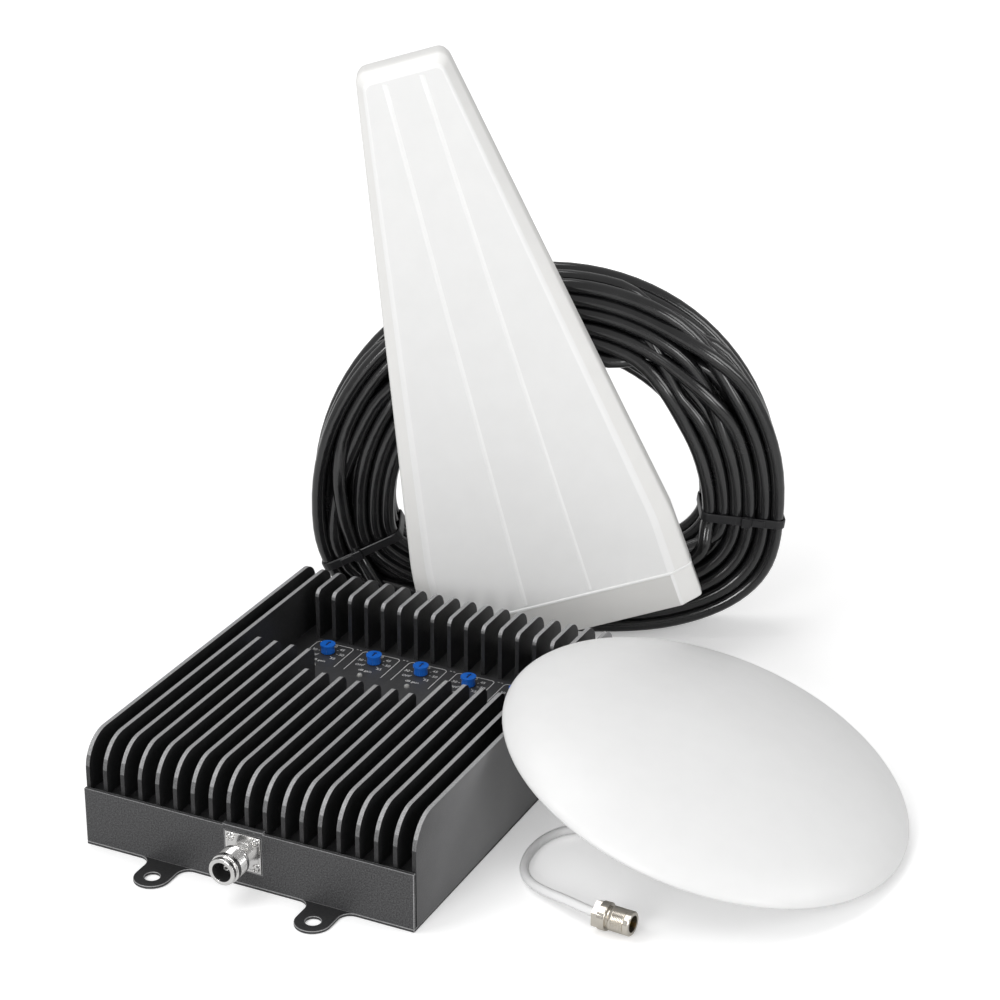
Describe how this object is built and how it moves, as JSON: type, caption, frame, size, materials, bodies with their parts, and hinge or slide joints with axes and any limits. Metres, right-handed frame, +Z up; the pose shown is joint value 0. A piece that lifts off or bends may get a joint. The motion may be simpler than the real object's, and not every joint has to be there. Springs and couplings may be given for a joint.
{
  "type": "cellular signal booster",
  "caption": "Signal booster kit: finned amplifier with gain knobs and coax ports, tapered panel antenna, dome ceiling antenna with a short lead, and a tied coil of coaxial cable with plugs.",
  "frame": {"origin": "centre of the amplifier's base, on the surface that it stands on", "axes": "+Z up; the amplifier's front plate with its port faces -Y; +X is to the right seen from the front"},
  "size_m": [0.5112, 0.5395, 0.453],
  "materials": {
    "black_powder_coat": "fine-grained near-black powder coat, satin, worn bright along the fins' edges",
    "control_panel_print": "satin dark film with white printed lines and numbers",
    "circuit_board": "green solder mask",
    "tin_plate": "bright tin",
    "nickel": "polished nickel plate",
    "control_body": "moulded black",
    "indicator_lens": "clear dome lens",
    "knob_blue": "bright azure blue moulding",
    "insulator_white": "waxy white",
    "gold_contact": "gold plate",
    "dark_screw": "black oxide",
    "radome_plastic": "off-white satin moulding",
    "boom_aluminium": "plain mill finish",
    "black_jacket": "black satin cable jacket",
    "dome_plastic": "white satin moulding",
    "thread_plastic": "white nylon",
    "gasket_foam": "closed-cell foam",
    "copper": "copper sheet",
    "white_jacket": "white vinyl jacket",
    "tie_nylon": "black nylon"
  },
  "bodies": {
    "amplifier": {"housing": "black_powder_coat", "front_plate": "black_powder_coat", "rear_plate": "black_powder_coat", "base_plate": "black_powder_coat", "control_label": "control_panel_print", "circuit_board": "circuit_board", "rf_shields": "tin_plate", "board_standoffs": "nickel", "gain_controls": "control_body", "status_leds": "indicator_lens", "front_port_shell": "nickel", "front_port_insulator": "insulator_white", "front_port_contact": "gold_contact", "front_port_screws": "nickel", "rear_port_shell": "nickel", "rear_port_insulator": "insulator_white", "rear_port_contact": "gold_contact", "rear_port_screws": "nickel", "power_jack": "control_body", "case_screws": "dark_screw"},
    "gain_knob_1": {"knob_1": "knob_blue"},
    "gain_knob_2": {"knob_2": "knob_blue"},
    "gain_knob_3": {"knob_3": "knob_blue"},
    "gain_knob_4": {"knob_4": "knob_blue"},
    "gain_knob_5": {"knob_5": "knob_blue"},
    "panel_antenna": {"antenna_radome": "radome_plastic", "antenna_back_cover": "radome_plastic", "antenna_end_cap": "radome_plastic", "antenna_front_boom": "boom_aluminium", "antenna_rear_boom": "boom_aluminium", "antenna_boom_spacers": "insulator_white", "antenna_feed_cable": "black_jacket", "antenna_port_shell": "nickel", "antenna_port_insulator": "insulator_white", "antenna_port_contact": "gold_contact", "antenna_screws": "nickel"},
    "dome_antenna": {"dome_shell": "dome_plastic", "dome_base": "dome_plastic", "dome_stud": "thread_plastic", "dome_gasket": "gasket_foam", "dome_ground_plane": "boom_aluminium", "dome_radiator": "copper", "dome_screws": "nickel", "pigtail_cable": "white_jacket", "pigtail_port_shell": "nickel", "pigtail_port_insulator": "insulator_white", "pigtail_port_contact": "gold_contact"},
    "ceiling_washer": {"dome_washer": "nickel"},
    "ceiling_nut": {"dome_nut": "thread_plastic"},
    "cable_coil": {"coil_cable": "black_jacket", "coil_tails": "black_jacket", "coil_ties": "tie_nylon", "plug_a_shell": "nickel", "plug_b_shell": "nickel", "plug_insulators": "insulator_white", "plug_pins": "gold_contact"},
    "coupling_nut_a": {"plug_a_nut": "nickel"},
    "coupling_nut_b": {"plug_b_nut": "nickel"}
  },
  "joints": [
    {"name": "gain_1_turn", "type": "hinge", "parent": "amplifier", "child": "gain_knob_1", "pos_m": [-0.0734, 0.088, 0.038], "axis": [0, 0, 1], "range_deg": [-140, 140]},
    {"name": "gain_2_turn", "type": "hinge", "parent": "amplifier", "child": "gain_knob_2", "pos_m": [-0.0367, 0.088, 0.038], "axis": [0, 0, 1], "range_deg": [-140, 140]},
    {"name": "gain_3_turn", "type": "hinge", "parent": "amplifier", "child": "gain_knob_3", "pos_m": [0, 0.088, 0.038], "axis": [0, 0, 1], "range_deg": [-140, 140]},
    {"name": "gain_4_turn", "type": "hinge", "parent": "amplifier", "child": "gain_knob_4", "pos_m": [0.0367, 0.088, 0.038], "axis": [0, 0, 1], "range_deg": [-140, 140]},
    {"name": "gain_5_turn", "type": "hinge", "parent": "amplifier", "child": "gain_knob_5", "pos_m": [0.0734, 0.088, 0.038], "axis": [0, 0, 1], "range_deg": [-140, 140]},
    {"name": "panel_antenna_lift", "type": "slide", "parent": "amplifier", "child": "panel_antenna", "axis": [0, 0, 1], "range_m": [0, 0.3]},
    {"name": "dome_antenna_lift", "type": "slide", "parent": "amplifier", "child": "dome_antenna", "axis": [0, 0, 1], "range_m": [0, 0.12]},
    {"name": "cable_coil_lift", "type": "slide", "parent": "amplifier", "child": "cable_coil", "axis": [0, 0, 1], "range_m": [0, 0.46]},
    {"name": "ceiling_washer_slide", "type": "slide", "parent": "dome_antenna", "child": "ceiling_washer", "axis": [-0.2889, -0.0319, -0.9568], "range_m": [0, 0.006]},
    {"name": "ceiling_nut_turn", "type": "hinge", "parent": "ceiling_washer", "child": "ceiling_nut", "pos_m": [0.2279, 0.04296, 0.03661], "axis": [-0.2889, -0.0319, -0.9568], "range_deg": [0, 1440]},
    {"name": "coupling_nut_a_turn", "type": "hinge", "parent": "cable_coil", "child": "coupling_nut_a", "pos_m": [0.06871, 0.32544, 0.017], "axis": [0.8988, 0.4384, 0], "continuous": true},
    {"name": "coupling_nut_b_turn", "type": "hinge", "parent": "cable_coil", "child": "coupling_nut_b", "pos_m": [-0.06791, 0.25881, 0.046], "axis": [-0.8988, -0.4384, 0], "continuous": true}
  ],
  "couplings": [
    {"joint": "ceiling_washer_slide", "follows": "ceiling_nut_turn", "m_per_rad": 0.00023873}
  ]
}
